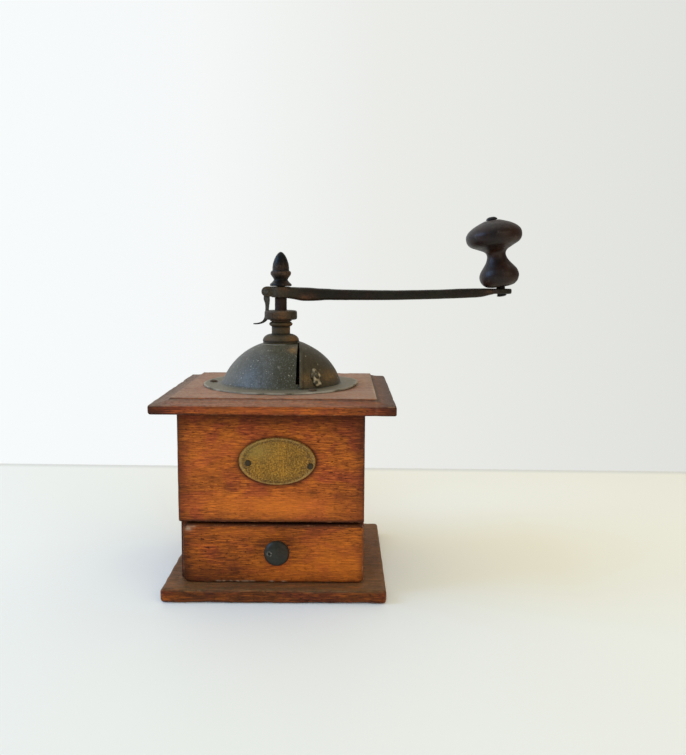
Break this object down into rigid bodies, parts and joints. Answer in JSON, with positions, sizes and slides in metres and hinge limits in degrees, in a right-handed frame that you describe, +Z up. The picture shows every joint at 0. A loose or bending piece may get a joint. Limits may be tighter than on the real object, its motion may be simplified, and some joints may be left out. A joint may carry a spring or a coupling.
{
  "type": "hand cranked box coffee grinder",
  "caption": "Wooden box coffee mill with a moulded top board, sheet-metal hopper dome with a turning door, hand crank with turned knob, conical burrs and a front drawer.",
  "frame": {"origin": "centre of the base board's underside, on the spindle's axis", "axes": "+Z up along the spindle, +X along the crank arm at rest, -Y towards the drawer's front"},
  "size_m": [0.2465, 0.156, 0.2531],
  "materials": {
    "red_wood": "worn oiled varnish, reddish brown, darker at the edges",
    "dusty_wood": "dull and dusty, brown with a pinkish cast",
    "dark_wood": "worn, dark brown",
    "inner_wood": "bare, aged",
    "knob_wood": "black lacquer, worn to brown",
    "blued_sheet": "aged dark blue-grey, satin, with dust",
    "brown_sheet": "aged brown-grey, with rust spots",
    "rusty_iron": "browned by rust, matte",
    "black_iron": "worn black lacquer over iron",
    "cast_iron": "rough as cast",
    "steel": "dull, aged",
    "old_brass": "tarnished, worn"
  },
  "bodies": {
    "case": {"base_board": "dark_wood", "side_panel_left": "red_wood", "side_panel_right": "red_wood", "back_panel": "red_wood", "front_panel": "red_wood", "top_board": "dusty_wood", "name_plate": "old_brass", "plate_pin_1": "rusty_iron", "plate_pin_2": "rusty_iron", "front_nail_1": "rusty_iron", "front_nail_2": "rusty_iron", "front_nail_3": "rusty_iron", "front_nail_4": "rusty_iron", "back_nail_1": "rusty_iron", "back_nail_2": "rusty_iron", "back_nail_3": "rusty_iron", "back_nail_4": "rusty_iron", "base_screw_1": "steel", "base_screw_2": "steel", "base_screw_3": "steel", "base_screw_4": "steel", "dome": "blued_sheet", "dome_screw_1": "rusty_iron", "dome_screw_2": "rusty_iron", "dome_screw_3": "rusty_iron", "neck_sleeve": "rusty_iron", "neck_lock_nut": "steel", "burr_ring": "cast_iron", "burr_ring_screw_1": "steel", "burr_ring_screw_2": "steel", "burr_ring_screw_3": "steel", "bearing_bridge": "cast_iron", "bridge_screw_1": "steel", "bridge_screw_2": "steel"},
    "hopper_door": {"hopper_door": "brown_sheet", "door_tab": "brown_sheet", "door_tab_rivet_1": "rusty_iron"},
    "thrust_washer": {"thrust_washer": "steel"},
    "grind_nut": {"grind_nut": "rusty_iron"},
    "spindle": {"spindle": "rusty_iron", "grinding_cone": "cast_iron", "cone_pin": "steel", "crank_arm": "black_iron", "acorn_nut": "rusty_iron", "knob_pin": "black_iron", "pawl_pin": "steel"},
    "knob": {"knob_grip": "knob_wood"},
    "pawl": {"pawl_lever": "rusty_iron"},
    "drawer": {"drawer_front": "red_wood", "drawer_side_left": "inner_wood", "drawer_side_right": "inner_wood", "drawer_back": "inner_wood", "drawer_bottom": "inner_wood", "drawer_knob": "black_iron", "drawer_knob_screw_1": "steel", "drawer_nail_1": "rusty_iron", "drawer_nail_2": "rusty_iron", "drawer_nail_3": "rusty_iron", "drawer_nail_4": "rusty_iron"}
  },
  "joints": [
    {"name": "crank_turn", "type": "hinge", "parent": "case", "child": "thrust_washer", "pos_m": [0, 0, 0.17941], "axis": [0, 0, 1], "continuous": true},
    {"name": "grind_adjust", "type": "hinge", "parent": "thrust_washer", "child": "grind_nut", "pos_m": [0, 0, 0.18336], "axis": [0, 0, 1], "range_deg": [-181, 181], "deforming": ["pawl_lever"]},
    {"name": "burr_lift", "type": "slide", "parent": "thrust_washer", "child": "spindle", "axis": [0, 0, 1], "range_m": [-0.0005, 0.0005]},
    {"name": "knob_turn", "type": "hinge", "parent": "spindle", "child": "knob", "pos_m": [0.15497, 0, 0.20434], "axis": [-0.1616, 0, 0.9869], "continuous": true},
    {"name": "pawl_swing", "type": "hinge", "parent": "spindle", "child": "pawl", "pos_m": [-0.01, 0, 0.19976], "axis": [0, 1, 0], "range_deg": [0, 18], "stiffness_Nm_per_rad": 0.05},
    {"name": "door_turn", "type": "hinge", "parent": "case", "child": "hopper_door", "pos_m": [0, 0, 0.16421], "axis": [0, 0, 1], "range_deg": [-2.7, 180]},
    {"name": "drawer_slide", "type": "slide", "parent": "case", "child": "drawer", "axis": [0, -1, 0], "range_m": [0, 0.09]}
  ],
  "couplings": [
    {"joint": "grind_adjust", "follows": "burr_lift", "rad_per_m": -6283.2}
  ]
}
